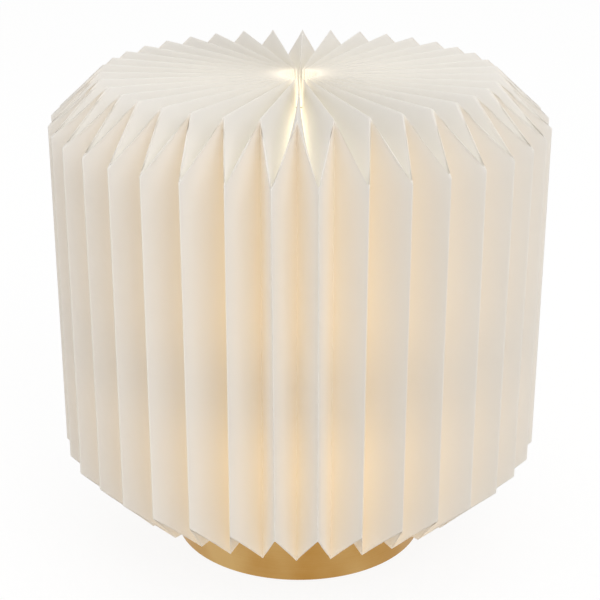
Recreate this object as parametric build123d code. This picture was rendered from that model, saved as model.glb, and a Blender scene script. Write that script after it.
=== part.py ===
from build123d import *
import math
import os

os.makedirs("parts", exist_ok=True)

# Driving sizes in millimetres. Z = 0 is the table, +Z is up, the lamp's axis is Z
# and the front is -Y. The lead's inlet is at the back.

# Paper shade: one sheet, folded into pleats all round and folded in again at both ends
pleat_count = 38            # even, so that a ridge faces front and back
outer_radius = 120.0        # outer creases of the wall
inner_radius = 94.4         # inner creases of the wall
wall_length = 163.2         # straight length of an outer crease
top_rise = 23.5             # top ridges above the upper end of the outer creases
bottom_drop = 25.6          # bottom ridges below the lower end of the outer creases
top_sag = 2.0               # how much lower the top ridges lie at the centre hole
paper_thickness = 0.3
top_hole_radius = 8.0       # small hole at the centre of the top
top_spans = 3               # stretches that a fold of the top is made in
bottom_spans = 2
shade_gap = 0.3             # bottom ridges above the drum

# Thread that gathers the top folds round the hole
thread_radius = 0.4
thread_from_hole = 5.0      # thread outside the hole's edge
knot_radius = 0.8

# Drum
base_radius = 64.3
base_height = 30.0
drum_wall = 1.0
drum_edge = 0.8             # slant between top and wall
drum_rim_gap = 0.8          # rim above the table
hem_width = 2.0             # roll at the rim, turned inwards
hem_height = 0.6

# Weight and felt
felt_thickness = 1.5
felt_margin = 3.0           # weight's edge beyond the felt
ballast_thickness = 12.0
ballast_clearance = 0.3
ballast_chamfer = 1.0
recess_radius = 16.0        # room for the nut under the weight
recess_depth = 6.0
channel_width = 12.0        # slot for the lead, from the inlet to the recess

# Clamping stack on the axis
tube_radius = 5.0
tube_bore = 3.75
tube_below_nut = 0.4
tube_chamfer = 0.3
tube_in_cap = 9.5           # length of tube inside the lampholder's cap
thread_clearance = 0.06
washer_radius = 11.0
washer_thickness = 1.2
nut_across_flats = 14.0
nut_thickness = 3.4
sleeve_wall = 1.9

# Lead inlet
inlet_height = 8.5
inlet_bore = 3.25
bush_wall = 1.35
bush_flange_width = 1.6
bush_flange_thickness = 1.6
bush_barrel_length = 7.0
bush_clearance = 0.1

# Locator on the drum and collar in the shade's lower opening
locator_radius = 31.0
locator_thickness = 1.0
locator_height = 8.0
locator_bend = 1.6          # slanted corner under the turned-up edge
locator_clearance = 0.5
collar_wall = 1.4
collar_flange_width = 9.0
collar_flange_thickness = 1.0
collar_lead_in = 0.6        # slanted edge that finds the locator
glue_gap = 0.25

# Lampholder for the small screw cap
holder_radius = 14.0
cap_height = 17.0
cap_wall = 1.7
cap_boss_radius = 8.2
cap_boss_height = 6.0
cap_corner = 3.0            # slanted corner at the floor of the cap's cavity
cap_floor_gap = 0.5         # cavity floor above the end of the tube
spigot_length = 5.0
skirt_length = 37.0
skirt_wall = 1.0
skirt_mouth_radius = 10.6
skirt_lip = 1.4
skirt_edge = 0.6            # slant at both edges of the mouth
part_clearance = 0.1        # between holder pieces that slip into each other
core_floor = 8.0
core_head_gap = 1.0         # core below the skirt's lip
shell_wall = 0.4
shell_tab_gap = 2.6         # shell's lower edge above the core's floor
contact_width = 3.6
contact_thickness = 0.5
contact_rise = 1.6
rivet_radius = 1.1
rivet_spread = 5.2
rivet_head = 0.7
block_size = 5.6            # brass terminal blocks under the core
block_spread = 7.0
wire_hole_radius = 1.0
screw_radius = 1.1
screw_head_radius = 2.0
screw_head_height = 1.3
screw_slot = 0.5
grub_radius = 1.5
grub_length = 3.2

# Golf-ball bulb, 45 mm across
globe_radius = 22.5
globe_wall = 1.0
bulb_length = 79.0
tip_radius = 2.2
tip_height = 1.0
tip_gap = 0.1               # tip above the centre contact
insulator_height = 3.0
bulb_cap_radius = 6.9
bulb_cap_length = 17.5
bulb_cap_wall = 0.4
cap_clearance = 0.1         # bulb cap to socket shell
housing_foot_radius = 8.2
housing_foot_height = 2.5
housing_wall = 1.2
globe_drop = 6.0            # housing's rim below the globe's centre
board_thickness = 1.4
board_gap = 0.3
chip_count = 8
chip_size = 2.8
chip_height = 0.8
chip_ring_radius = 9.5
driver_width = 9.6
driver_thickness = 1.2
driver_length = 33.0
driver_chip = 4.6
driver_inset = 3.0          # capacitor below the LED board
lead_depth = 0.2            # capacitor let into the circuit board by its leads
capacitor_radius = 2.6
capacitor_length = 9.0

# Levels and radii worked out from the driving sizes
half_step = math.pi / pleat_count
fold_edge = paper_thickness / 2
low_ridge = base_height + shade_gap + fold_edge
wall_low = low_ridge + bottom_drop
wall_high = wall_low + wall_length
top_ridge = wall_high + top_rise
pleat_reach = outer_radius - inner_radius * math.cos(half_step)
strip_width = math.hypot(pleat_reach, inner_radius * math.sin(half_step))

drum_inside = base_radius - drum_wall
drum_ceiling = base_height - drum_wall
ballast_radius = drum_inside - ballast_clearance
ballast_top = felt_thickness + ballast_thickness
recess_ceiling = felt_thickness + recess_depth
nut_top = recess_ceiling - washer_thickness
nut_bottom = nut_top - nut_thickness
threaded_hole = tube_radius + thread_clearance
bush_radius = inlet_bore + bush_wall

collar_inside = locator_radius + locator_clearance
collar_outside = collar_inside + collar_wall
neck_radius = collar_outside + glue_gap

cap_bottom = base_height + locator_thickness
cap_top = cap_bottom + cap_height
skirt_top = cap_top + skirt_length
skirt_inside = holder_radius - skirt_wall
spigot_radius = skirt_inside - part_clearance
core_bottom = cap_top + spigot_length + part_clearance
core_top = skirt_top - skirt_lip - core_head_gap
core_floor_top = core_bottom + core_floor
shell_inside = bulb_cap_radius + cap_clearance
shell_outside = shell_inside + shell_wall
shell_bottom = core_floor_top + shell_tab_gap
rivet_hole = rivet_radius + part_clearance

tip_bottom = core_floor_top + contact_rise + tip_gap
insulator_bottom = tip_bottom + tip_height
bulb_cap_bottom = insulator_bottom + insulator_height
bulb_cap_top = bulb_cap_bottom + bulb_cap_length
globe_centre = tip_bottom + bulb_length - globe_radius
housing_top = globe_centre - globe_drop
housing_rim_radius = math.sqrt(globe_radius ** 2 - globe_drop ** 2)
board_top = housing_top - board_gap


def revolved(*points):
    """A solid turned round Z from its half profile, given as (radius, height) points."""
    return revolve(Plane.XZ * make_face(Polyline(*points, close=True)), Axis.Z)


def tube(outside, inside, bottom, top):
    return revolved((inside, bottom), (outside, bottom), (outside, top), (inside, top))


def block(low, high):
    """A box between two corners."""
    size = [b - a for a, b in zip(low, high)]
    centre = [(a + b) / 2 for a, b in zip(low, high)]
    return Pos(*centre) * Box(*size)


def rod(radius, start, end):
    """A round rod between two points."""
    axis = Vector(*end) - Vector(*start)
    return Plane(origin=start, z_dir=axis) * extrude(Circle(radius), axis.length)


def rings_at(solid, radius, level):
    """Round edges of a turned solid at a radius and a height."""
    rings = solid.edges().filter_by(GeomType.CIRCLE)
    return [e for e in rings if abs(e.radius - radius) < 0.01 and abs(e.center().Z - level) < 0.01]


# Folded sheet. Creases are numbered round the shade, two to a pleat: an even one is
# an inner crease of the wall and a ridge of the top, an odd one the reverse.
def half_width(radius):
    return radius * math.sin(half_step)


def fold_height(radius):
    """Height from valley to ridge at a radius, as the strip between them keeps its width."""
    return math.sqrt(strip_width ** 2 - half_width(radius) ** 2)


def fold_depth(run, rise):
    """Depth of a zigzag of paper along its folds, whose limbs go run across and rise up.

    It solves depth x sin(slope of the limbs) = paper thickness.
    """
    reach = rise + 2 * fold_edge
    free = run ** 2 - paper_thickness ** 2
    root = math.sqrt((paper_thickness * reach) ** 2 + free * (run ** 2 + reach ** 2))
    return paper_thickness * (root - paper_thickness * reach) / free


def stations(start, end, spans):
    """Radii from start to end in equal ratios, so that they crowd where the folds do."""
    return [start * (end / start) ** (i / spans) for i in range(spans + 1)]


def crease_lines(is_ridge):
    """A crease on the sheet's outer and inner skin, as (radius, height) from the top hole to the neck."""
    corner = inner_radius if is_ridge else outer_radius
    hole_ridge = top_ridge - top_sag
    hole_valley = hole_ridge - fold_height(top_hole_radius)
    neck_fold = low_ridge + fold_height(neck_radius)
    outer_skin = []
    inner_skin = []
    for radius in reversed(stations(corner, top_hole_radius, top_spans)):
        share = (corner - radius) / (corner - top_hole_radius)
        ridge = top_ridge + (hole_ridge - top_ridge) * share
        valley = wall_high + (hole_valley - wall_high) * share
        depth = fold_depth(half_width(radius), ridge - valley)
        highest = ridge + fold_edge if is_ridge else valley - fold_edge + depth
        outer_skin.append((radius, highest))
        inner_skin.append((radius, highest - depth))
    for radius in stations(corner, neck_radius, bottom_spans):
        share = (corner - radius) / (corner - neck_radius)
        fold = wall_low + (neck_fold - wall_low) * share
        depth = fold_depth(half_width(radius), fold - low_ridge)
        lowest = low_ridge - fold_edge if is_ridge else fold + fold_edge - depth
        outer_skin.append((radius, lowest))
        inner_skin.append((radius, lowest + depth))
    # The wall's crease is upright, so its two corners take its radius on each skin
    wall_depth = fold_depth(half_width((outer_radius + inner_radius) / 2), pleat_reach)
    farthest = corner - fold_edge + wall_depth if is_ridge else corner + fold_edge
    for i in (top_spans, top_spans + 1):
        outer_skin[i] = (farthest, outer_skin[i][1])
        inner_skin[i] = (farthest - wall_depth, inner_skin[i][1])
    return outer_skin, inner_skin


def on_crease(index, point):
    angle = index * half_step
    return (point[0] * math.sin(angle), -point[0] * math.cos(angle), point[1])


def flat_face(*corners):
    return Face(Wire.make_polygon(corners))


def strip_faces(ridge, valley):
    """Flat faces between a ridge crease and a valley crease, each given from the top hole to the neck.

    The strip of the wall is flat. Each stretch of the top and the bottom is a little twisted, and
    paper can't be curved both ways, so there it bends along the line from ridge to next valley point.
    """
    faces = []
    for j in range(len(ridge) - 1):
        if j == top_spans:
            faces.append(flat_face(ridge[j], ridge[j + 1], valley[j + 1], valley[j]))
        else:
            faces.append(flat_face(ridge[j], ridge[j + 1], valley[j + 1]))
            faces.append(flat_face(ridge[j], valley[j + 1], valley[j]))
    return faces


def make_paper_shade():
    """Closed shell of flat faces: both skins of every strip, and the cut edges at hole and neck."""
    faces = []
    ridge_lines = crease_lines(True)
    valley_lines = crease_lines(False)
    for i in range(0, 2 * pleat_count, 2):
        for side in (-1, 1):
            ridge = [[on_crease(i, point) for point in line] for line in ridge_lines]
            valley = [[on_crease(i + side, point) for point in line] for line in valley_lines]
            for skin in range(2):
                faces += strip_faces(ridge[skin], valley[skin])
            for end in (0, -1):
                faces.append(flat_face(ridge[0][end], valley[0][end], valley[1][end]))
                faces.append(flat_face(ridge[0][end], valley[1][end], ridge[1][end]))
    return Solid(Shell(faces))


def make_gather_thread():
    """Thread drawn through the folds half-way up their inner ends, knotted at the back."""
    ring_radius = top_hole_radius + thread_from_hole
    level = top_ridge - top_sag - fold_height(top_hole_radius) / 2
    ring = revolve(Plane.XZ * Pos(ring_radius, 0) * RegularPolygon(thread_radius, 4), Axis.Z)
    knot_angle = 180 + math.degrees(half_step) / 2
    knot = Rot(0, 0, knot_angle) * Pos(0, -ring_radius, 0) * Box(*[2 * knot_radius] * 3)
    return Pos(0, 0, level) * (ring + chamfer(knot.edges(), knot_radius / 2))


def make_neck_collar():
    """Collar glued in the lower opening, with a flange over the folds."""
    bottom = base_height + shade_gap
    flange_bottom = low_ridge + fold_height(neck_radius) + fold_edge + glue_gap
    top = flange_bottom + collar_flange_thickness
    reach = neck_radius + collar_flange_width
    profile = [(collar_inside, bottom), (collar_outside, bottom), (collar_outside, flange_bottom)]
    profile += [(reach, flange_bottom), (reach, top), (collar_inside, top)]
    collar = revolved(*profile)
    return chamfer(rings_at(collar, collar_inside, bottom), collar_lead_in)


def make_shade_locator():
    """Dish whose turned-up edge centres the collar, pressed with a slanted corner."""
    rim_top = base_height + locator_height
    floor_top = base_height + locator_thickness
    rim_inside = locator_radius - locator_thickness
    profile = [(threaded_hole, base_height), (locator_radius, base_height), (locator_radius, rim_top)]
    profile += [(rim_inside, rim_top), (rim_inside, floor_top), (threaded_hole, floor_top)]
    dish = revolved(*profile)
    dish = chamfer(rings_at(dish, locator_radius, base_height), locator_bend)
    return chamfer(rings_at(dish, rim_inside, floor_top), locator_bend - locator_thickness)


def make_base_drum():
    """Spun drum: flat top with a slanted edge, a straight wall and a hem turned inwards."""
    hem_inside = drum_inside - hem_width
    hem_top = drum_rim_gap + hem_height
    profile = [(threaded_hole, base_height), (base_radius, base_height), (base_radius, drum_rim_gap)]
    profile += [(hem_inside, drum_rim_gap), (hem_inside, hem_top), (drum_inside, hem_top)]
    drum = revolved(*profile, (drum_inside, drum_ceiling), (threaded_hole, drum_ceiling))
    drum = chamfer(rings_at(drum, base_radius, base_height), drum_edge)
    hole_start = (0, drum_inside - hem_width, inlet_height)
    return drum - rod(bush_radius + bush_clearance, hole_start, (0, base_radius + 1, inlet_height))


def make_ballast_disc():
    """Cast weight with a nut recess below and a slot for the lead."""
    disc = tube(ballast_radius, threaded_hole, felt_thickness, ballast_top)
    disc = chamfer(rings_at(disc, ballast_radius, ballast_top), ballast_chamfer)
    disc -= tube(recess_radius, 0, felt_thickness, recess_ceiling)
    half = channel_width / 2
    slot_start = math.sqrt(recess_radius ** 2 - half ** 2)
    return disc - block((-half, slot_start, 0), (half, base_radius, ballast_top + 1))


def make_base_felt():
    return tube(ballast_radius - felt_margin, 0, 0, felt_thickness)


def make_threaded_tube():
    bottom = nut_bottom - tube_below_nut
    top = cap_bottom + tube_in_cap
    pipe = tube(tube_radius, tube_bore, bottom, top)
    return chamfer(rings_at(pipe, tube_radius, bottom) + rings_at(pipe, tube_radius, top), tube_chamfer)


def make_clamp_washer():
    return tube(washer_radius, threaded_hole, nut_top, recess_ceiling)


def make_clamp_nut():
    """Hexagon nut with its corners turned off on both faces."""
    corner_radius = nut_across_flats / math.sqrt(3)
    hexagon = RegularPolygon(corner_radius, 6)
    nut = Pos(0, 0, nut_bottom) * extrude(hexagon, nut_thickness)
    face_radius = nut_across_flats / 2
    slope = (corner_radius - face_radius) * 0.6
    profile = [(0, nut_bottom), (face_radius, nut_bottom), (corner_radius, nut_bottom + slope)]
    profile += [(corner_radius, nut_top - slope), (face_radius, nut_top), (0, nut_top)]
    return (nut & revolved(*profile)) - tube(threaded_hole, 0, nut_bottom - 1, nut_top + 1)


def make_spacer_sleeve():
    return tube(threaded_hole + sleeve_wall, threaded_hole, ballast_top, drum_ceiling)


def make_inlet_bush():
    """Flanged bush in the back of the drum."""
    flange_radius = bush_radius + bush_flange_width
    mouth = base_radius + bush_flange_thickness
    inner_end = mouth - bush_flange_thickness - bush_barrel_length
    flange = rod(flange_radius, (0, base_radius, inlet_height), (0, mouth, inlet_height))
    flange = chamfer(flange.edges().sort_by(Axis.Y)[-1:], bush_flange_thickness * 0.45)
    barrel = rod(bush_radius, (0, inner_end, inlet_height), (0, base_radius, inlet_height))
    bore = rod(inlet_bore, (0, inner_end - 1, inlet_height), (0, mouth + 1, inlet_height))
    return flange + barrel - bore


def make_holder_cap():
    """Lower half of the lampholder: threaded boss, flared shoulder and a spigot for the skirt."""
    boss_top = cap_bottom + cap_boss_height
    shoulder_top = boss_top + holder_radius - cap_boss_radius
    inner_floor = cap_bottom + tube_in_cap + cap_floor_gap
    spigot_top = cap_top + spigot_length
    cavity_radius = spigot_radius - cap_wall
    profile = [(threaded_hole, cap_bottom), (cap_boss_radius, cap_bottom), (cap_boss_radius, boss_top)]
    profile += [(holder_radius, shoulder_top), (holder_radius, cap_top), (spigot_radius, cap_top)]
    profile += [(spigot_radius, spigot_top), (cavity_radius, spigot_top)]
    profile += [(cavity_radius, inner_floor + cap_corner), (cavity_radius - cap_corner, inner_floor)]
    cap = revolved(*profile, (threaded_hole, inner_floor))
    grub_level = cap_bottom + cap_boss_height / 2
    hole_end = (cap_boss_radius + 1, 0, grub_level)
    return cap - rod(grub_radius + part_clearance, (tube_radius, 0, grub_level), hole_end)


def make_cap_grub_screw():
    """Slotted screw that locks the cap on the tube."""
    level = cap_bottom + cap_boss_height / 2
    start = tube_radius + part_clearance
    screw = rod(grub_radius, (start, 0, level), (start + grub_length, 0, level))
    end = start + grub_length
    return screw - block((end - 0.8, -screw_slot / 2, level - 2), (end + 1, screw_slot / 2, level + 2))


def make_holder_skirt():
    """Plain sleeve with a lip that keeps the core in."""
    profile = [(skirt_inside, cap_top), (holder_radius, cap_top), (holder_radius, skirt_top)]
    profile += [(skirt_mouth_radius, skirt_top), (skirt_mouth_radius, skirt_top - skirt_lip)]
    profile += [(skirt_inside, skirt_top - skirt_lip)]
    skirt = revolved(*profile)
    rims = rings_at(skirt, holder_radius, skirt_top) + rings_at(skirt, skirt_mouth_radius, skirt_top)
    return chamfer(rims, skirt_edge)


def make_holder_core():
    """Ceramic insert with a bore for the shell and holes for the two rivets."""
    core = tube(skirt_inside - part_clearance, 0, core_bottom, core_top)
    core -= tube(shell_outside + part_clearance, 0, core_floor_top, core_top + 1)
    for side in (-1, 1):
        x = side * rivet_spread
        core -= rod(rivet_hole, (x, 0, core_bottom - 1), (x, 0, core_floor_top + 1))
    return core


def make_socket_shell():
    """Brass shell whose foot is turned in and riveted to the core's floor."""
    shell = tube(shell_outside, shell_inside, shell_bottom, core_top)
    half = contact_width / 2
    foot_top = core_floor_top + contact_thickness
    leg_reach = shell_outside - 0.1
    foot = block((rivet_spread - half, -half, core_floor_top), (leg_reach - 0.2, half, foot_top))
    leg = block((shell_inside - 0.1, -half, core_floor_top), (leg_reach - 0.2, half, shell_bottom + 1))
    leg &= tube(shell_outside, shell_inside - 0.2, core_floor_top, shell_bottom + 1)
    foot -= rod(rivet_hole, (rivet_spread, 0, core_floor_top - 1), (rivet_spread, 0, foot_top + 1))
    return shell + leg + foot


def make_centre_contact():
    """Bent brass tongue under the bulb's tip."""
    low = core_floor_top
    high = low + contact_rise
    start = -rivet_spread - contact_width / 2
    bend = -rivet_spread + contact_width / 2
    crest = -tip_radius * 0.7
    crest_low = high - contact_thickness
    path = [(start, low), (bend, low), (crest, crest_low), (tip_radius, crest_low)]
    back = [(x, z + contact_thickness) for x, z in reversed(path)]
    strip = make_face(Polyline(*path, *back, close=True))
    tongue = extrude(Plane.XZ * strip, contact_width / 2, both=True)
    hole = rod(rivet_hole, (-rivet_spread, 0, low - 1), (-rivet_spread, 0, low + 1))
    return tongue - hole


def make_contact_rivets():
    """One rivet through each contact and the core's floor."""
    rivets = []
    head_bottom = core_floor_top + contact_thickness
    for side in (-1, 1):
        x = side * rivet_spread
        shank = rod(rivet_radius, (x, 0, core_bottom), (x, 0, head_bottom))
        head = rod(rivet_radius * 1.5, (x, 0, head_bottom), (x, 0, head_bottom + rivet_head))
        rivets.append(shank + head)
    return Compound(rivets)


def make_terminal_blocks():
    """Brass blocks under the core, with a hole for the wire and one for the screw."""
    blocks = []
    half = block_size / 2
    for side in (-1, 1):
        x = side * block_spread
        body = block((x - half, -half, core_bottom - block_size), (x + half, half, core_bottom))
        body = chamfer(body.edges().filter_by(Axis.Z), 0.6)
        middle = core_bottom - half
        body -= rod(wire_hole_radius, (x, 0, core_bottom - block_size - 1), (x, 0, middle))
        body -= rod(screw_radius + part_clearance, (x, -half - 1, middle), (x, 0, middle))
        blocks.append(body)
    return Compound(blocks)


def make_terminal_screws():
    screws = []
    half = block_size / 2
    middle = core_bottom - half
    for side in (-1, 1):
        x = side * block_spread
        shank = rod(screw_radius, (x, -half, middle), (x, -0.3, middle))
        head = rod(screw_head_radius, (x, -half - screw_head_height, middle), (x, -half, middle))
        slot_low = (x - screw_slot / 2, -half - screw_head_height - 1, middle - 3)
        slot_high = (x + screw_slot / 2, -half - screw_head_height / 2, middle + 3)
        screws.append(head + shank - block(slot_low, slot_high))
    return Compound(screws)


def housing_profile(inset):
    """Half profile of the bulb's housing, drawn in by inset: a foot and a cone up to the globe."""
    foot = housing_foot_radius - inset
    shoulder = bulb_cap_top + housing_foot_height
    profile = [(0, bulb_cap_top), (foot, bulb_cap_top), (foot, shoulder)]
    return profile + [(housing_rim_radius - inset, housing_top), (0, housing_top)]


def make_bulb_housing():
    return revolved(*housing_profile(0)) - revolved(*housing_profile(housing_wall))


def make_bulb_globe():
    ball = Pos(0, 0, globe_centre) * (Sphere(globe_radius) - Sphere(globe_radius - globe_wall))
    return split(ball, Plane.XY.offset(housing_top), keep=Keep.TOP)


def make_bulb_cap():
    """Cap sleeve, open at the top, with a turned-in lower end that holds the insulator."""
    sleeve_inside = bulb_cap_radius - bulb_cap_wall
    taper_top = bulb_cap_bottom + 1.6
    profile = [(tip_radius + 2.2, bulb_cap_bottom), (bulb_cap_radius - 1.2, bulb_cap_bottom)]
    profile += [(bulb_cap_radius, taper_top), (bulb_cap_radius, bulb_cap_top)]
    profile += [(sleeve_inside, bulb_cap_top)]
    profile += [(sleeve_inside, taper_top + 0.2), (tip_radius + 2.2, bulb_cap_bottom + bulb_cap_wall)]
    return revolved(*profile)


def make_bulb_insulator():
    foot = tip_radius + 0.6
    head = bulb_cap_radius - 1.4
    profile = [(0, insulator_bottom), (foot, insulator_bottom)]
    return revolved(*profile, (head, bulb_cap_bottom), (0, bulb_cap_bottom))


def make_bulb_tip():
    tip = tube(tip_radius, 0, tip_bottom, insulator_bottom)
    return chamfer(rings_at(tip, tip_radius, tip_bottom), tip_height * 0.7)


def make_led_board():
    """Round board, as large as the cone of the housing leaves room for at its underside."""
    cone_height = housing_top - bulb_cap_top - housing_foot_height
    lean = (housing_rim_radius - housing_foot_radius) / cone_height
    radius = housing_rim_radius - housing_wall - (board_gap + board_thickness) * lean - board_gap
    return tube(radius, 0, board_top - board_thickness, board_top)


def make_led_chips():
    chip = Box(chip_size, chip_size, chip_height, align=(Align.CENTER, Align.CENTER, Align.MIN))
    spots = [360 / chip_count * i for i in range(chip_count)]
    outwards = Pos(chip_ring_radius, 0, board_top)
    return Compound([Rot(0, 0, angle) * outwards * chip for angle in spots])


def make_led_driver():
    """Small upright circuit board under the LED board, with its capacitor and chip."""
    top = board_top - board_thickness
    bottom = top - driver_length
    half = driver_thickness / 2
    board = block((-driver_width / 2, -half, bottom), (driver_width / 2, half, top))
    y = half + capacitor_radius - lead_depth
    end = top - driver_inset
    capacitor = rod(capacitor_radius, (0, y, end - capacitor_length), (0, y, end))
    chip_low = (-driver_chip / 2, -half - driver_thickness, bottom + driver_length / 3)
    chip_high = (driver_chip / 2, -half, bottom + driver_length / 3 + driver_chip)
    return board + capacitor + block(chip_low, chip_high)


pieces = {
    "paper_shade": make_paper_shade,
    "gather_thread": make_gather_thread,
    "neck_collar": make_neck_collar,
    "shade_locator": make_shade_locator,
    "base_drum": make_base_drum,
    "ballast_disc": make_ballast_disc,
    "base_felt": make_base_felt,
    "threaded_tube": make_threaded_tube,
    "clamp_washer": make_clamp_washer,
    "clamp_nut": make_clamp_nut,
    "spacer_sleeve": make_spacer_sleeve,
    "inlet_bush": make_inlet_bush,
    "holder_cap": make_holder_cap,
    "cap_grub_screw": make_cap_grub_screw,
    "holder_skirt": make_holder_skirt,
    "holder_core": make_holder_core,
    "socket_shell": make_socket_shell,
    "centre_contact": make_centre_contact,
    "contact_rivets": make_contact_rivets,
    "terminal_blocks": make_terminal_blocks,
    "terminal_screws": make_terminal_screws,
    "bulb_globe": make_bulb_globe,
    "bulb_housing": make_bulb_housing,
    "bulb_cap": make_bulb_cap,
    "bulb_insulator": make_bulb_insulator,
    "bulb_tip": make_bulb_tip,
    "led_board": make_led_board,
    "led_chips": make_led_chips,
    "led_driver": make_led_driver,
}

for name, make in pieces.items():
    export_step(make(), f"parts/{name}.step")
print("overall height", round(top_ridge + fold_edge, 2), "mm, pleats", pleat_count)
print("bulb from", round(tip_bottom, 2), "to", round(globe_centre + globe_radius, 2), "mm")
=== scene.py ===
import math

import bpy
import numpy as np
from mathutils import Matrix, Vector


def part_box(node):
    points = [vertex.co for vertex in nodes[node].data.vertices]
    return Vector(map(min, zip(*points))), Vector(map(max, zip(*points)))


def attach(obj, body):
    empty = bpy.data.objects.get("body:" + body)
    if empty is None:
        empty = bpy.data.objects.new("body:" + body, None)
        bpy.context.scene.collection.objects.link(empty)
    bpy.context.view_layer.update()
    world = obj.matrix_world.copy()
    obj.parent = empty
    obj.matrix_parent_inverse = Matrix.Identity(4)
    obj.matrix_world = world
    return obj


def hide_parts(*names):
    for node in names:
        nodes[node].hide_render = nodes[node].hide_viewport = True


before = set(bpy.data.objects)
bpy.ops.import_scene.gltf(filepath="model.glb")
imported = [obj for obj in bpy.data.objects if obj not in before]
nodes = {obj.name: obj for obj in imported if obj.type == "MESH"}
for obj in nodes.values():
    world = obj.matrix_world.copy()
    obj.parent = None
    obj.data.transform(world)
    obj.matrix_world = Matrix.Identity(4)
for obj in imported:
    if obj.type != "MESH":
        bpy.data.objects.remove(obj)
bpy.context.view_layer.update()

# Pleated paper table lamp. Metres, +Z up, the lamp's axis is Z and the front is -Y.
# The frame holds every piece. This script folds the paper shade and winds its thread
# anew, cuts two screw threads, finishes every surface and sets up the studio and the camera.

print("frame loaded:", len(nodes), "nodes")


class Wire:
    # a shader socket that takes part in sums: each operator adds its Math node

    def __init__(self, tree, socket=None):
        self.tree = tree
        self.socket = socket

    def node(self, kind, settings=None, sockets=None, output=0):
        # any other node: its settings come first, then a value or a link for each socket
        made = self.tree.nodes.new(kind)
        for name, value in (settings or {}).items():
            setattr(made, name, value)
        for name, value in (sockets or {}).items():
            if isinstance(value, Wire):
                self.tree.links.new(value.socket, made.inputs[name])
            else:
                made.inputs[name].default_value = value
        return Wire(self.tree, made.outputs[output] if made.outputs else None)

    def maths(self, operation, *terms):
        return self.node("ShaderNodeMath", {"operation": operation}, dict(enumerate(terms)))

    def __add__(self, other):
        return self.maths("ADD", self, other)

    def __radd__(self, other):
        return self.maths("ADD", other, self)

    def __sub__(self, other):
        return self.maths("SUBTRACT", self, other)

    def __rsub__(self, other):
        return self.maths("SUBTRACT", other, self)

    def __mul__(self, other):
        return self.maths("MULTIPLY", self, other)

    def __rmul__(self, other):
        return self.maths("MULTIPLY", other, self)


def opaque(colour):
    return (*colour, 1.0)


def startFinish(name):
    material = bpy.data.materials.new(name)
    material.use_nodes = True
    material.node_tree.nodes.clear()
    return material, Wire(material.node_tree)


def objectPlace(wire):
    return wire.node("ShaderNodeTexCoord", output=3)


def noise(wire, place, scale, detail=3.0, roughness=0.5):
    sockets = {"Vector": place, "Scale": scale, "Detail": detail, "Roughness": roughness}
    return wire.node("ShaderNodeTexNoise", None, sockets)


def spread(wire, value, low, high, newLow=0.0, newHigh=1.0):
    # value from low..high to newLow..newHigh, held at the ends
    sockets = {"Value": value, "From Min": low, "From Max": high}
    sockets.update({"To Min": newLow, "To Max": newHigh})
    return wire.node("ShaderNodeMapRange", {"clamp": True}, sockets)


def between(wire, factor, first, second):
    # colour that goes from first to second as factor goes from 0 to 1
    ends = [opaque(c) if isinstance(c, tuple) else c for c in (first, second)]
    sockets = {0: factor, 6: ends[0], 7: ends[1]}
    return wire.node("ShaderNodeMix", {"data_type": "RGBA"}, sockets, output=2)


def bump(wire, height, strength, distance):
    sockets = {"Height": height, "Strength": strength, "Distance": distance}
    return wire.node("ShaderNodeBump", None, sockets)


def roundTheAxis(wire, place):
    # angle, radius and height of a point, measured from the lamp's axis
    x, y, z = (wire.node("ShaderNodeSeparateXYZ", None, {0: place}, output=i) for i in range(3))
    angle = wire.maths("ARCTAN2", y, x)
    radius = wire.maths("SQRT", x * x + y * y)
    return angle, radius, z


def principled(wire, colour, roughness, normal=None, **constants):
    colour = opaque(colour) if isinstance(colour, tuple) else colour
    sockets = {"Base Color": colour, "Roughness": roughness}
    sockets.update({name.replace("_", " "): value for name, value in constants.items()})
    if normal is not None:
        sockets["Normal"] = normal
    return wire.node("ShaderNodeBsdfPrincipled", None, sockets)


def finished(material, wire, shader):
    wire.node("ShaderNodeOutputMaterial", None, {"Surface": shader})
    return material


# Paper shade: one sheet folded into pleats round the wall, and in again at both ends.
# Creases are numbered round the shade from the front; an even one is an inner crease
# of the wall and a ridge of the top, an odd one the reverse.
shade = {
    "pleats": 38,
    "outerRadius": 0.120,
    "innerRadius": 0.0944,
    "lowRidge": 0.03045,
    "bottomDrop": 0.0256,
    "wallLength": 0.1632,
    "topRise": 0.0235,
    "topSag": 0.002,
    "holeRadius": 0.008,
    "neckRadius": 0.03315,
    "thickness": 0.0003,
    "rowsTop": 13,
    "rowsWall": 15,
    "rowsBottom": 8,
    "foldRows": (0.0006, 0.0022),   # rows beside each fold across the pleats
    "foldColumns": (0.014, 0.035, 0.08),    # columns beside each crease, as shares of a strip
    "middleColumns": (0.35, 0.65),          # and in the middle of a strip
    "softness": 0.35,               # how far a crease is rounded
    "bow": 0.00035,                 # how far a strip bows out between its creases
    "bowSpread": (0.6, 0.8),        # least bow, and how much more it may be, as shares of it
    "wander": 0.00035,              # how far creases stray from their place
    "wanderMost": (-0.0008, 0.0003),    # how far in and out a crease may stray
    "wanderRadius": 0.03,           # nearer the axis than this, creases turn no more for it
    "seed": 11,
}

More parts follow.
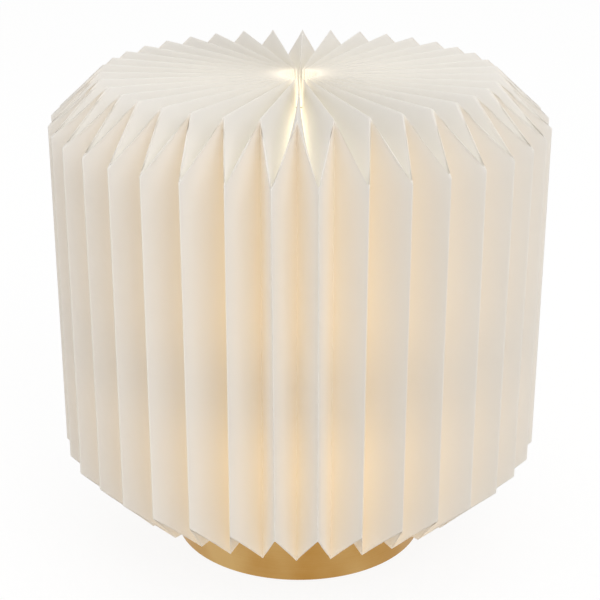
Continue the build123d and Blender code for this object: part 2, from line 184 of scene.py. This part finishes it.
# Painted glow: emission on the paper that stands in for the bulb's light coming through the
# sheet and lightens the shade in its valleys. Each table gives (distance along a crease,
# amount): the wall's from the top corner, the others from the hole. Far is the share left at
# the crease opposite.
paintedPaperGlow = {
    "hole": (0.54, 0.485, 0.37),
    "holeAlong": ((0.0, 0.52), (0.002, 0.38), (0.005, 0.17), (0.009, 0.06), (0.014, 0.02), (0.022, 0.0)),
    "holeDeep": ((0.0, 0.50), (0.018, 0.42), (0.028, 0.24), (0.04, 0.06), (0.05, 0.0)),  # valleys
    "holeDeepFall": 1.3,                # powers by which the glow falls across a strip
    "valleyFall": 1.5,
    "valley": (0.265, 0.262, 0.228),    # valleys of the top
    "valleyAlong": ((0.0, 0.4), (0.02, 0.85), (0.04, 0.9), (0.06, 0.7), (0.08, 0.45), (0.098, 0.2)),
    "valleyFar": 0.16,
    "wall": (0.190, 0.134, 0.065),      # inner creases of the wall
    "wallAlong": ((-0.004, 0.2), (0.008, 0.70), (0.05, 0.80), (0.09, 0.88), (0.108, 0.76), (0.128, 0.60),
                  (0.149, 0.88), (0.165, 1.0), (0.19, 0.9), (0.25, 0.6)),
    "wallFar": 0.14,
}


def stripWidth():
    # distance between an outer crease of the wall and the inner crease beside it
    halfStep = math.pi / shade["pleats"]
    reach = shade["outerRadius"] - shade["innerRadius"] * math.cos(halfStep)
    return math.hypot(reach, shade["innerRadius"] * math.sin(halfStep))


def foldHeight(radius):
    # height from valley to ridge: the root of the strip's width squared less its run squared
    run = radius * math.sin(math.pi / shade["pleats"])
    return np.sqrt(stripWidth() ** 2 - run ** 2)


def foldDepth(run, rise):
    # how deep the folded sheet is, measured the way its limbs rise: its thickness times a
    # limb's length over its run, where a skin's limb rises by rise + thickness - depth
    thickness = shade["thickness"]
    reach = rise + thickness
    free = run ** 2 - thickness ** 2
    root = np.sqrt((thickness * reach) ** 2 + free * (run ** 2 + reach ** 2))
    return thickness * (root - thickness * reach) / free


def shadeStations():
    # share of each stretch's length at every row: hole to corner, corner to corner, corner to neck
    near = np.array(shade["foldRows"])
    top = np.linspace(0.0, 1.0, shade["rowsTop"])
    wall = np.linspace(0.0, 1.0, shade["rowsWall"])
    bottom = np.linspace(0.0, 1.0, shade["rowsBottom"])
    topLength = shade["innerRadius"] - shade["holeRadius"]
    bottomLength = shade["innerRadius"] - shade["neckRadius"]
    top = np.union1d(top, 1 - near / topLength)
    wall = np.union1d(wall, np.concatenate([near, shade["wallLength"] - near]) / shade["wallLength"])
    bottom = np.union1d(bottom, near / bottomLength)
    return top, wall, bottom


def creaseLines(isRidge):
    # radius and height of a crease at every row, on the outer and the inner skin: in the top
    # and the bottom the radius grows by equal factors and the height goes straight with it,
    # in the wall the radius stays, and the skins are the fold's depth apart
    top, wall, bottom = shadeStations()
    edge = shade["thickness"] / 2
    lowRidge = shade["lowRidge"]
    wallLow = lowRidge + shade["bottomDrop"]
    wallHigh = wallLow + shade["wallLength"]
    topRidge = wallHigh + shade["topRise"]
    holeRidge = topRidge - shade["topSag"]
    corner = shade["innerRadius"] if isRidge else shade["outerRadius"]
    halfStep = math.pi / shade["pleats"]

    radius = shade["holeRadius"] * (corner / shade["holeRadius"]) ** top
    share = (corner - radius) / (corner - shade["holeRadius"])
    ridge = topRidge + (holeRidge - topRidge) * share
    valley = wallHigh + (holeRidge - foldHeight(shade["holeRadius"]) - wallHigh) * share
    depth = foldDepth(radius * math.sin(halfStep), ridge - valley)
    height = ridge + edge if isRidge else valley - edge + depth
    topOuter = np.stack([radius, height], 1)
    topInner = np.stack([radius, height - depth], 1)

    radius = corner * (shade["neckRadius"] / corner) ** bottom
    share = (corner - radius) / (corner - shade["neckRadius"])
    fold = wallLow + (lowRidge + foldHeight(shade["neckRadius"]) - wallLow) * share
    depth = foldDepth(radius * math.sin(halfStep), fold - lowRidge)
    height = lowRidge - edge + 0 * radius if isRidge else fold + edge - depth
    bottomOuter = np.stack([radius, height], 1)
    bottomInner = np.stack([radius, height + depth], 1)

    middle = (shade["outerRadius"] + shade["innerRadius"]) / 2
    reach = shade["outerRadius"] - shade["innerRadius"] * math.cos(halfStep)
    wallDepth = foldDepth(np.array(middle * math.sin(halfStep)), reach)
    farthest = corner - edge + wallDepth if isRidge else corner + edge
    skins = []
    for upper, lower, inwards in ((topOuter, bottomOuter, 0.0), (topInner, bottomInner, wallDepth)):
        start, end = upper[-1, 1], lower[0, 1]
        wallPart = np.stack([np.full(len(wall), farthest - inwards), start + (end - start) * wall], 1)
        skins.append(np.concatenate([upper[:-1], wallPart, lower[1:]]))
    return skins


def softenRows(points, row, amount):
    # rounds a fold that runs across the pleats, by moving its row towards its neighbours
    points[row] += amount * ((points[row - 1] + points[row + 1]) / 2 - points[row])


def shadeGrid():
    # rows x columns x 3 for each skin: creases on their lines, strips ruled between them,
    # creases rounded, and every strip bowed out by a half sine across its width
    rng = np.random.default_rng(shade["seed"])
    count = 2 * shade["pleats"]
    top, wall, bottom = shadeStations()
    corners = (len(top) - 1, len(top) + len(wall) - 2)
    lines = [creaseLines(True), creaseLines(False)]
    rows = len(lines[0][0])
    near = np.array(shade["foldColumns"])
    across = np.concatenate([[0.0], near, shade["middleColumns"], 1 - near[::-1]])
    angles = np.arange(count) * math.pi / shade["pleats"]
    free = np.sin(np.linspace(0.0, math.pi, rows)) ** 0.5      # 0 at the hole and the neck
    wave = np.linspace(-1.0, 1.0, rows)
    stray = rng.normal(0.0, shade["wander"], (2, count, 2))
    outwards = free[:, None] * (stray[0, :, 0] + stray[0, :, 1] * wave[:, None])
    sideways = free[:, None] * (stray[1, :, 0] + stray[1, :, 1] * wave[:, None])
    least, more = shade["bowSpread"]
    bow = shade["bow"] * (least + more * rng.random(count))
    grids = []
    for skin in range(2):
        line = np.stack([lines[i % 2][skin] for i in range(count)], 1)  # rows, creases, (radius, height)
        radius = line[..., 0] + np.clip(outwards, *shade["wanderMost"])
        turn = angles[None, :] + sideways / np.maximum(radius, shade["wanderRadius"])
        crease = np.stack([radius * np.sin(turn), -radius * np.cos(turn), line[..., 1]], 2)
        for row in corners:
            softenRows(crease, row, shade["softness"])
        following = np.roll(crease, -1, 1)
        strip = crease[:, :, None] + (following - crease)[:, :, None] * across[None, None, :, None]
        along = np.gradient(strip, axis=0)
        normal = np.cross((following - crease)[:, :, None], along)
        normal /= np.maximum(np.linalg.norm(normal, axis=3, keepdims=True), 1e-9)
        swell = bow[None, :, None] * free[:, None, None] * np.sin(math.pi * across)[None, None, :]
        strip += normal * swell[..., None]
        points = strip.reshape(rows, -1, 3)
        sides = (np.roll(points, 1, 1) + np.roll(points, -1, 1)) / 2
        isCrease = np.arange(points.shape[1]) % len(across) == 0
        points[:, isCrease] += shade["softness"] * (sides - points)[:, isCrease]
        grids.append(points)
    creased = np.where(np.minimum(across, 1 - across) < near[0] * 1.5, 1.0, 0.0)
    marks = np.broadcast_to(np.tile(creased, count), (rows, count * len(across))).copy()
    marks[list(corners)] = 1.0
    return grids, marks, paintedGlowOver(lines[0][0], corners[0], across, count)


def paintedGlowOver(line, corner, across, count):
    # colour of the painted glow at every point, amount along the fold times share across the strip:
    # amounts come from the tables, and shares fall from the inner crease or the valley to
    # the crease opposite
    along = np.concatenate([[0.0], np.cumsum(np.linalg.norm(np.diff(line, axis=0), axis=1))])
    isTop = (np.arange(len(line)) < corner).astype(float)
    toInner = np.concatenate([1 - across if i % 2 == 0 else across for i in range(count)])
    hole = isTop * np.interp(along, *zip(*paintedPaperGlow["holeAlong"]))
    valley = isTop * np.interp(along, *zip(*paintedPaperGlow["valleyAlong"]))
    wall = (1 - isTop) * np.interp(along - along[corner], *zip(*paintedPaperGlow["wallAlong"]))
    deep = isTop * np.interp(along, *zip(*paintedPaperGlow["holeDeep"]))
    byHole = hole[:, None] + deep[:, None] * (1 - toInner) ** paintedPaperGlow["holeDeepFall"]
    paintedGlow = byHole[..., None] * np.array(paintedPaperGlow["hole"])
    toValley = (1 - toInner) ** paintedPaperGlow["valleyFall"]
    for amount, near, name in ((valley, toValley, "valley"), (wall, toInner, "wall")):
        spreadOut = paintedPaperGlow[name + "Far"] + (1 - paintedPaperGlow[name + "Far"]) * near
        paintedGlow = paintedGlow + (amount[:, None] * spreadOut)[..., None] * np.array(paintedPaperGlow[name])
    return paintedGlow


def bandFaces(rows, columns, offset=0):
    # quads of a grid that closes on itself along its columns
    r, c = np.meshgrid(np.arange(rows - 1), np.arange(columns), indexing="ij")
    n = (c + 1) % columns
    upper, lower = r * columns, (r + 1) * columns
    return np.stack([upper + c, lower + c, lower + n, upper + n], 2).reshape(-1, 4) + offset


def ringJoint(first, second):
    # quads between two rings of points, given as their point numbers
    return np.stack([first, np.roll(first, -1), np.roll(second, -1), second], 1)


def meshObject(name, points, faces, material, smooth=True):
    mesh = bpy.data.meshes.new(name)
    mesh.from_pydata(points.reshape(-1, 3).tolist(), [], faces.tolist())
    mesh.validate()
    mesh.update()
    mesh.materials.append(material)
    mesh.polygons.foreach_set("use_smooth", np.full(len(mesh.polygons), smooth))
    made = bpy.data.objects.new(name, mesh)
    bpy.context.scene.collection.objects.link(made)
    return made


paperLook = {
    "colour": (0.945, 0.935, 0.915),
    "cloudy": (0.925, 0.905, 0.875),    # thicker places in the sheet
    "crease": (0.96, 0.955, 0.94),
    "tint": (0.97, 0.92, 0.83, 1.0),    # colour of the light that comes through
    "through": (0.235, 0.275),          # share of the light that passes each skin, thick and thin
    "roughness": 0.9,
    "cloudScale": 130.0,
    "fibreScale": 1400.0,
    "creaseMark": 0.05,                 # how much of the crease colour shows
}


def paperFinish():
    # matt wove paper: clouds and fibres in the colour, fine tooth in the bump, more light
    # through the thin places between the clouds, and a painted glow: emission that stands in
    # for the bulb's light through the sheet and lightens its shaded valleys
    material, wire = startFinish("paper")
    place = objectPlace(wire)
    clouds = noise(wire, place, paperLook["cloudScale"], 4.0, 0.6)
    fibres = noise(wire, place, paperLook["fibreScale"], 2.0, 0.6)
    fold = wire.node("ShaderNodeAttribute", {"attribute_name": "fold"}, output=2)
    sheet = between(wire, clouds * 0.7 + fibres * 0.3, paperLook["cloudy"], paperLook["colour"])
    colour = between(wire, fold * paperLook["creaseMark"], sheet, paperLook["crease"])
    tooth = bump(wire, fibres + clouds * 0.6, 0.2, 0.0002)
    # painted glow: emission that stands in for the bulb's light through the paper and lightens its
    # shaded valleys
    paintedGlow = wire.node("ShaderNodeAttribute", {"attribute_name": "paintedGlow"})
    light = {"Emission_Color": paintedGlow, "Emission_Strength": 1.0}
    front = principled(wire, colour, paperLook["roughness"], tooth, **light)
    passing = {"Color": paperLook["tint"], "Normal": tooth}
    back = wire.node("ShaderNodeBsdfTranslucent", None, passing)
    share = spread(wire, clouds, 0.3, 0.7, *paperLook["through"])
    mixed = wire.node("ShaderNodeMixShader", None, {0: share, 1: front, 2: back})
    return finished(material, wire, mixed)


def makePaperShade(material):
    # two skins, joined at the hole and at the neck, with their creases and painted glow as attributes
    grids, marks, paintedGlow = shadeGrid()
    rows, columns = marks.shape
    total = rows * columns
    outer = bandFaces(rows, columns)
    inner = bandFaces(rows, columns, total)[:, ::-1]
    hole = np.arange(columns)
    neck = (rows - 1) * columns + hole
    rims = [ringJoint(hole, hole + total), ringJoint(neck + total, neck)]
    faces = np.concatenate([outer, inner, *rims])
    made = meshObject("pleatedShade", np.concatenate(grids), faces, material)
    fold = made.data.attributes.new("fold", "FLOAT", "POINT")
    fold.data.foreach_set("value", np.tile(marks.reshape(-1), 2).astype(np.float32))
    # painted glow: emission colour that stands in for the bulb's light through the paper
    colour = made.data.attributes.new("paintedGlow", "FLOAT_COLOR", "POINT")
    solid = np.concatenate([paintedGlow, np.ones((rows, columns, 1))], 2)
    colour.data.foreach_set("color", np.tile(solid.reshape(-1), 2).astype(np.float32))
    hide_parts("paper_shade")
    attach(made, "shade")


# Thread through the folds round the top hole: two plies twisted round each other
thread = {
    "ringRadius": 0.013,
    "level": 0.2273,
    "ply": 0.00022,             # from the thread's middle to a ply's
    "plyRadius": 0.000231,
    "turns": 46,
    "steps": 460,
    "sides": 8,
    "steady": (0.02, 0.01, 1.0),    # direction that the plies' rings are set out from
}


def closedTube(path, radius, sides):
    # a round tube along a closed path: at each point a circle of this radius square to it
    tangent = np.roll(path, -1, 0) - np.roll(path, 1, 0)
    tangent /= np.linalg.norm(tangent, axis=1, keepdims=True)
    across = np.cross(tangent, np.array(thread["steady"]))
    across /= np.linalg.norm(across, axis=1, keepdims=True)
    upwards = np.cross(across, tangent)
    turn = np.arange(sides) * 2 * math.pi / sides
    ring = np.cos(turn)[None, :, None] * across[:, None]
    ring = ring + np.sin(turn)[None, :, None] * upwards[:, None]
    return path[:, None] + radius * ring


def closedTubeFaces(rings, sides, offset):
    # quads between each ring of a closed tube and the next, the last going on to the first
    r, s = np.meshgrid(np.arange(rings), np.arange(sides), indexing="ij")
    n, t = (r + 1) % rings, (s + 1) % sides
    first, second = r * sides, n * sides
    return np.stack([first + s, first + t, second + t, second + s], 2).reshape(-1, 4) + offset


def makeThread(material):
    # each ply's path is a ring round the axis, plus a small circle that goes round the ring
    steps, sides = thread["steps"], thread["sides"]
    angle = np.arange(steps) * 2 * math.pi / steps
    points, faces = [], []
    for ply in (0.0, math.pi):
        twist = angle * thread["turns"] + ply
        radius = thread["ringRadius"] + thread["ply"] * np.cos(twist)
        height = thread["level"] + thread["ply"] * np.sin(twist)
        path = np.stack([radius * np.sin(angle), -radius * np.cos(angle), height], 1)
        points.append(closedTube(path, thread["plyRadius"], sides).reshape(-1, 3))
        faces.append(closedTubeFaces(steps, sides, steps * sides * len(faces)))
    made = meshObject("gatherThread", np.concatenate(points), np.concatenate(faces), material)
    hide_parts("gather_thread")
    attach(made, "shade")
    print("thread wound:", len(made.data.polygons), "faces")


# Screw threads that the CAD pieces lack: the rolled cap of the bulb and the clamping tube
screwedPieces = {
    "bulb_cap": {
        "body": "bulb", "slot": "cap_metal", "name": "rolledCap", "rows": 110, "columns": 72,
        "profile": ((0.0044, 0.0668), (0.0057, 0.0668), (0.0069, 0.0684), (0.0069, 0.0843)),
        "wall": 0.0004, "pitch": 0.00282, "depth": 0.0008, "threadLow": 0.0684, "threadHigh": 0.0826,
    },
    "threaded_tube": {
        "body": "base", "slot": "plated_steel", "name": "screwedTube", "rows": 300, "columns": 40,
        "profile": ((0.0045, 0.0025), (0.005, 0.003), (0.005, 0.04), (0.0045, 0.0405)),
        "bore": 0.00375, "pitch": 0.001, "depth": 0.0005, "threadLow": 0.0025, "threadHigh": 0.0405,
    },
}


def screwedSkin(piece):
    # a profile turned round the axis; where it is widest, between two heights, its radius is
    # less by depth * (1 - cosine(height over pitch, less the angle)) / 2, and the inner skin
    # is the same less the wall, or a plain bore
    corners = np.array(piece["profile"])
    run = np.concatenate([[0.0], np.cumsum(np.linalg.norm(np.diff(corners, axis=0), axis=1))])
    places = np.union1d(np.linspace(0.0, run[-1], piece["rows"]), run)
    radius, height = (np.interp(places, run, corners[:, i])[:, None] for i in range(2))
    angle = np.arange(piece["columns"])[None, :] * 2 * math.pi / piece["columns"]
    widest = radius > corners[:, 0].max() * 0.98
    wave = (1 - np.cos(2 * math.pi * height / piece["pitch"] - angle)) / 2
    fromEnd = np.minimum(height - piece["threadLow"], piece["threadHigh"] - height)
    fade = np.clip(fromEnd * 2.0 / piece["pitch"], 0.0, 1.0)        # over half a turn
    outer = radius - piece["depth"] * fade * wave * widest
    wall = piece.get("wall", 0.0)
    inner = np.full_like(outer, piece["bore"]) if "bore" in piece else outer - wall
    innerHeight = height + wall * (1 - widest)
    return [np.stack([r * np.cos(angle), r * np.sin(angle), z + 0 * angle], 2)
            for r, z in ((outer, height), (inner, innerHeight))]


def makeScrewed(node, material):
    # the two skins of a screwed piece, joined at its ends, in place of the plain node
    piece = screwedPieces[node]
    skins = screwedSkin(piece)
    rows, columns = skins[0].shape[:2]
    total, first = rows * columns, np.arange(columns)
    last = (rows - 1) * columns + first
    faces = [bandFaces(rows, columns)[:, ::-1], bandFaces(rows, columns, total)]
    faces += [ringJoint(first + total, first), ringJoint(last, last + total)]
    made = meshObject(piece["name"], np.concatenate(skins), np.concatenate(faces), material)
    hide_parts(node)
    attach(made, piece["body"])
    print("screw thread cut:", node)


threadLook = {"colour": (0.86, 0.83, 0.76), "shaded": (0.70, 0.66, 0.58), "fuzzScale": 3000.0}


def threadFinish():
    # cotton: fibres in the colour and the bump
    material, wire = startFinish("cottonThread")
    fuzz = noise(wire, objectPlace(wire), threadLook["fuzzScale"], 2.0)
    colour = between(wire, fuzz, threadLook["shaded"], threadLook["colour"])
    return finished(material, wire, principled(wire, colour, 0.9, bump(wire, fuzz, 0.4, 0.0001)))


brassLook = {
    "colour": (0.60, 0.39, 0.155),
    # darker tone of the brass: mostly painted reflection, partly tarnish
    "darkerTone": (0.44, 0.215, 0.042),
    "roughness": (0.26, 0.44),
    "streakRound": 1.5,         # streaks round the drum, and across it
    "streakAcross": 2600.0,
    # painted reflection: how fast the tone changes round the drum and up it
    "reflectionRound": 1.1,           # slow change of tone round the drum, and up it
    "reflectionUp": 14.0,
}


def brassFinish():
    # satin brass brushed round the drum: streaks keep their radius and height, and the colour
    # changes slowly round and up the drum as a painted reflection, with a little tarnish
    material, wire = startFinish("drumBrass")
    place = objectPlace(wire)
    angle, radius, height = roundTheAxis(wire, place)
    fine = brassLook["streakAcross"]
    brushed = {0: angle * brassLook["streakRound"], 1: radius * fine, 2: height * fine}
    streaks = noise(wire, wire.node("ShaderNodeCombineXYZ", None, brushed), 1.0, 3.0, 0.6)
    tarnish = noise(wire, place, 38.0, 4.0, 0.6)
    # painted reflection: a slow change between the darker tone and the brass colour, for the lighter and
    # darker things the brass reflects
    slow = {0: angle * brassLook["reflectionRound"], 2: height * brassLook["reflectionUp"]}
    paintedReflection = noise(wire, wire.node("ShaderNodeCombineXYZ", None, slow), 1.0, 2.0)
    blend = spread(wire, paintedReflection * 0.75 + tarnish * 0.15 + streaks * 0.1, 0.38, 0.62)
    colour = between(wire, blend, brassLook["darkerTone"], brassLook["colour"])
    roughness = spread(wire, streaks * 0.6 + tarnish * 0.4, 0.25, 0.75, *brassLook["roughness"])
    shader = principled(wire, colour, roughness, bump(wire, streaks, 0.12, 0.00005), Metallic=1.0)
    return finished(material, wire, shader)


# Moulded plastics: colour, duller colour where it flowed, roughness
plastics = {
    "collarPlastic": ((0.78, 0.76, 0.71), (0.74, 0.72, 0.66), 0.5),
    "holderPlastic": ((0.80, 0.79, 0.75), (0.76, 0.75, 0.70), 0.45),
    "bushPlastic": ((0.020, 0.020, 0.021), (0.012, 0.012, 0.013), 0.5),
    "bulbPlastic": ((0.84, 0.84, 0.82), (0.80, 0.80, 0.78), 0.3),
    "insulatorBlack": ((0.02, 0.02, 0.02), (0.01, 0.01, 0.01), 0.35),
}

# Plated and bare metals: colour, duller colour of the blotches, roughness, scale of the blotches
metals = {
    "zincPlate": ((0.62, 0.62, 0.60), (0.45, 0.44, 0.41), 0.32, 220.0),
    "contactBrass": ((0.78, 0.60, 0.30), (0.62, 0.44, 0.20), 0.25, 400.0),
    "locatorPlate": ((0.70, 0.52, 0.26), (0.58, 0.40, 0.18), 0.3, 220.0),
    "capNickel": ((0.72, 0.72, 0.70), (0.55, 0.55, 0.53), 0.22, 500.0),
    "solder": ((0.62, 0.62, 0.61), (0.42, 0.42, 0.42), 0.35, 900.0),
    "boardMetal": ((0.80, 0.80, 0.78), (0.70, 0.70, 0.68), 0.4, 220.0),
}


def plasticFinish(name, colour, duller, roughness):
    # moulded plastic: a fine spark-eroded grain and slight flow marks
    material, wire = startFinish(name)
    place = objectPlace(wire)
    fine = noise(wire, place, 900.0, 2.0)
    flow = noise(wire, place, 45.0, 3.0)
    mixed = between(wire, flow, duller, colour)
    rough = spread(wire, fine, 0.3, 0.7, roughness - 0.06, roughness + 0.06)
    return finished(material, wire, principled(wire, mixed, rough, bump(wire, fine, 0.08, 0.0001)))


def metalFinish(name, colour, darkerTone, roughness, scale):
    # plated or cast metal: blotches in the colour and fine scratches in the bump
    material, wire = startFinish(name)
    place = objectPlace(wire)
    blotch = noise(wire, place, scale, 4.0, 0.6)
    scratch = noise(wire, place, scale * 9.0, 2.0)
    mixed = between(wire, blotch, darkerTone, colour)
    rough = spread(wire, blotch, 0.3, 0.7, roughness + 0.07, roughness - 0.07)
    normal = bump(wire, scratch, 0.1, 0.0001)
    return finished(material, wire, principled(wire, mixed, rough, normal, Metallic=1.0))


castLook = {
    "dark": (0.035, 0.035, 0.038),
    "light": (0.07, 0.07, 0.072),
    "roughness": (0.5, 0.7),
    "skinScale": 160.0,
    "peelScale": 900.0,
}


def castFinish():
    # painted casting: orange-peel paint over a coarse sand-cast skin
    material, wire = startFinish("castIron")
    place = objectPlace(wire)
    skin = noise(wire, place, castLook["skinScale"], 5.0, 0.65)
    peel = noise(wire, place, castLook["peelScale"], 2.0)
    mixed = between(wire, skin, castLook["dark"], castLook["light"])
    rough = spread(wire, skin, 0.3, 0.7, *castLook["roughness"])
    normal = bump(wire, skin + peel * 0.3, 0.5, 0.0006)
    return finished(material, wire, principled(wire, mixed, rough, normal))


feltLook = {
    "dark": (0.012, 0.012, 0.013),
    "light": (0.05, 0.05, 0.052),
    "fibreScale": 1500.0,
    "matScale": 300.0,
}


def feltFinish():
    # pressed felt: matted fibres at two scales
    material, wire = startFinish("darkFelt")
    place = objectPlace(wire)
    fibre = noise(wire, place, feltLook["fibreScale"], 5.0, 0.8)
    mat = noise(wire, place, feltLook["matScale"], 3.0)
    mixed = between(wire, fibre, feltLook["dark"], feltLook["light"])
    normal = bump(wire, fibre + mat, 0.8, 0.0006)
    return finished(material, wire, principled(wire, mixed, 0.95, normal))


ceramicLook = {
    "dark": (0.74, 0.72, 0.66),
    "light": (0.85, 0.84, 0.79),
    "mottleScale": 400.0,
    "pitScale": 1300.0,
}


def ceramicFinish():
    # pressed steatite: unglazed, faintly mottled, with pinholes
    material, wire = startFinish("steatite")
    place = objectPlace(wire)
    mottle = noise(wire, place, ceramicLook["mottleScale"], 4.0)
    pitted = {"Vector": place, "Scale": ceramicLook["pitScale"]}
    hollow = spread(wire, wire.node("ShaderNodeTexVoronoi", None, pitted), 0.0, 0.16)
    mixed = between(wire, mottle, ceramicLook["dark"], ceramicLook["light"])
    return finished(material, wire, principled(wire, mixed, 0.5, bump(wire, hollow, 0.3, 0.0002)))


bulbLook = {
    "colour": (0.46, 0.44, 0.39),
    "light": (1.0, 0.86, 0.62),
    "rim": (0.86, 0.66, 0.42),          # light by the housing
    "strength": 0.64,
}


def opalFinish():
    # lit diffuser: its light goes from one colour by the housing to another at the top
    material, wire = startFinish("litOpal")
    place = objectPlace(wire)
    height = wire.node("ShaderNodeSeparateXYZ", None, {0: place}, output=2)
    low, high = (corner.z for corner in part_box("bulb_globe"))
    share = spread(wire, height, low, high)
    light = between(wire, share, bulbLook["rim"], bulbLook["light"])
    lit = {"Emission_Color": light, "Emission_Strength": bulbLook["strength"]}
    return finished(material, wire, principled(wire, bulbLook["colour"], 0.35, **lit))


chipLook = {"dark": (0.85, 0.62, 0.10), "light": (0.95, 0.76, 0.22), "grainScale": 2500.0}


def chipFinish():
    # yellow phosphor, slightly grainy
    material, wire = startFinish("phosphor")
    grain = noise(wire, objectPlace(wire), chipLook["grainScale"], 2.0)
    mixed = between(wire, grain, chipLook["dark"], chipLook["light"])
    return finished(material, wire, principled(wire, mixed, 0.35))


boardLook = {"mask": (0.02, 0.16, 0.06), "track": (0.06, 0.30, 0.12), "trackScale": 260.0}


def boardFinish():
    # green solder mask with copper tracks showing faintly through it
    material, wire = startFinish("driverBoard")
    sockets = {"Vector": objectPlace(wire), "Scale": boardLook["trackScale"], "Mortar Size": 0.12}
    tracks = wire.node("ShaderNodeTexBrick", {"offset": 0.5}, sockets, output=1)
    mixed = between(wire, tracks, boardLook["mask"], boardLook["track"])
    return finished(material, wire, principled(wire, mixed, 0.4, bump(wire, tracks, 0.2, 0.0001)))


ownFinishes = {
    "drumBrass": brassFinish,
    "castIron": castFinish,
    "darkFelt": feltFinish,
    "steatite": ceramicFinish,
    "litOpal": opalFinish,
    "phosphor": chipFinish,
    "driverBoard": boardFinish,
}

dressedNodes = {
    "drumBrass": ("base_drum",),
    "locatorPlate": ("shade_locator",),
    "collarPlastic": ("neck_collar",),
    "castIron": ("ballast_disc",),
    "darkFelt": ("base_felt",),
    "bushPlastic": ("inlet_bush",),
    "holderPlastic": ("holder_cap", "holder_skirt"),
    "steatite": ("holder_core",),
    "litOpal": ("bulb_globe",),
    "bulbPlastic": ("bulb_housing",),
    "capNickel": ("bulb_cap",),
    "insulatorBlack": ("bulb_insulator",),
    "solder": ("bulb_tip",),
    "boardMetal": ("led_board",),
    "phosphor": ("led_chips",),
    "driverBoard": ("led_driver",),
    "zincPlate": ("threaded_tube", "clamp_washer", "clamp_nut", "spacer_sleeve",
                  "cap_grub_screw", "terminal_screws"),
    "contactBrass": ("socket_shell", "centre_contact", "contact_rivets", "terminal_blocks"),
}


def dressNodes():
    # a finish for every node that keeps its CAD shape, and a screw thread for two others
    finishes = {name: plasticFinish(name, *look) for name, look in plastics.items()}
    finishes.update({name: metalFinish(name, *look) for name, look in metals.items()})
    finishes.update({name: finish() for name, finish in ownFinishes.items()})
    for name, dressed in dressedNodes.items():
        for node in dressed:
            for place in nodes[node].material_slots:
                place.material = finishes[name]
            if node in screwedPieces:
                makeScrewed(node, finishes[name])
    print("nodes dressed:", sum(len(dressed) for dressed in dressedNodes.values()))


studio = {
    "floorSize": 6.0,
    "floorColour": (0.80, 0.80, 0.79, 1.0),
    "sky": 0.73,
    "keyPower": 13.0,
    "keyPlace": (1.0, -1.5, 1.5),
    "keySize": 1.4,
    "fillPower": 3.2,
    "fillPlace": (-1.5, -1.1, 0.9),
    "fillSize": 1.4,
    "topPower": 6.0,
    "topPlace": (0.0, 0.3, 1.9),
    "topSize": 1.6,
    "aim": (0.0, 0.0, 0.12),        # what the lamps face
    "floorShadow": 0.15,            # how much of the real shading the camera sees on the floor
    "floorWhite": 1.04,
}


def seenRays(wire):
    # 1 for rays from the camera, mirrors and glass, 0 for light on the object
    def kind(index):
        return wire.node("ShaderNodeLightPath", output=index)
    camera, diffuse, glossy, transmission = kind(0), kind(2), kind(3), kind(6)
    seen = wire.maths("MAXIMUM", camera, wire.maths("MAXIMUM", glossy, transmission))
    return seen * (1 - diffuse)


def makeFloor():
    material, wire = startFinish("paleFloor")
    plain = wire.node("ShaderNodeBsdfDiffuse", None, {"Color": studio["floorColour"]})
    lit = {"Color": (1.0, 1.0, 1.0, 1.0), "Strength": studio["floorWhite"]}
    white = wire.node("ShaderNodeEmission", None, lit)
    factor = seenRays(wire) * (1.0 - studio["floorShadow"])
    finished(material, wire, wire.node("ShaderNodeMixShader", None, {0: factor, 1: plain, 2: white}))
    half = studio["floorSize"] / 2
    corners = np.array([(-half, -half, 0.0), (half, -half, 0.0), (half, half, 0.0), (-half, half, 0.0)])
    floor = meshObject("floor", corners, np.array([[0, 1, 2, 3]]), material, smooth=False)


def softbox(name, power, place, size):
    data = bpy.data.lights.new(name, "AREA")
    data.shape = "SQUARE"
    data.size = size
    data.energy = power
    made = bpy.data.objects.new(name, data)
    towards = Vector(studio["aim"]) - Vector(place)
    turn = towards.to_track_quat("-Z", "Y").to_matrix().to_4x4()
    made.matrix_world = Matrix.Translation(place) @ turn
    bpy.context.scene.collection.objects.link(made)


def makeStudio():
    world = bpy.data.worlds.new("studio")
    world.use_nodes = True
    world.node_tree.nodes.clear()
    wire = Wire(world.node_tree)
    strength = studio["sky"] + seenRays(wire) * (1.0 - studio["sky"])
    sky = wire.node("ShaderNodeBackground", None, {"Color": (1.0, 1.0, 1.0, 1.0), "Strength": strength})
    wire.node("ShaderNodeOutputWorld", None, {"Surface": sky})
    bpy.context.scene.world = world
    for name in ("key", "fill", "top"):
        softbox(name, studio[name + "Power"], studio[name + "Place"], studio[name + "Size"])
    makeFloor()
    bpy.context.scene.view_settings.view_transform = "Standard"
    print("studio set")


view = {
    "distance": 0.7602,
    "azimuth": 0.73,
    "elevation": 21.583,
    "roll": 0.09,
    "aim": (0.0, 0.0, 0.1245),
    "lens": 90.34,
    "shift": 0.0014,
}


def makeCamera():
    # stands on a circle round the aim point, turned a little about its own view line
    azimuth, elevation = math.radians(view["azimuth"]), math.radians(view["elevation"])
    level = math.cos(elevation)
    back = Vector((math.sin(azimuth) * level, -math.cos(azimuth) * level, math.sin(elevation)))
    place = Vector(view["aim"]) + back * view["distance"]
    turn = (-back).to_track_quat("-Z", "Y").to_matrix().to_4x4()
    data = bpy.data.cameras.new("camera")
    data.lens = view["lens"]
    data.shift_x = view["shift"]
    camera = bpy.data.objects.new("camera", data)
    roll = Matrix.Rotation(math.radians(view["roll"]), 4, "Z")
    camera.matrix_world = Matrix.Translation(place) @ turn @ roll
    bpy.context.scene.collection.objects.link(camera)
    bpy.context.scene.camera = camera
    print("camera placed")


makeCamera()
makeStudio()
makePaperShade(paperFinish())
makeThread(threadFinish())
dressNodes()
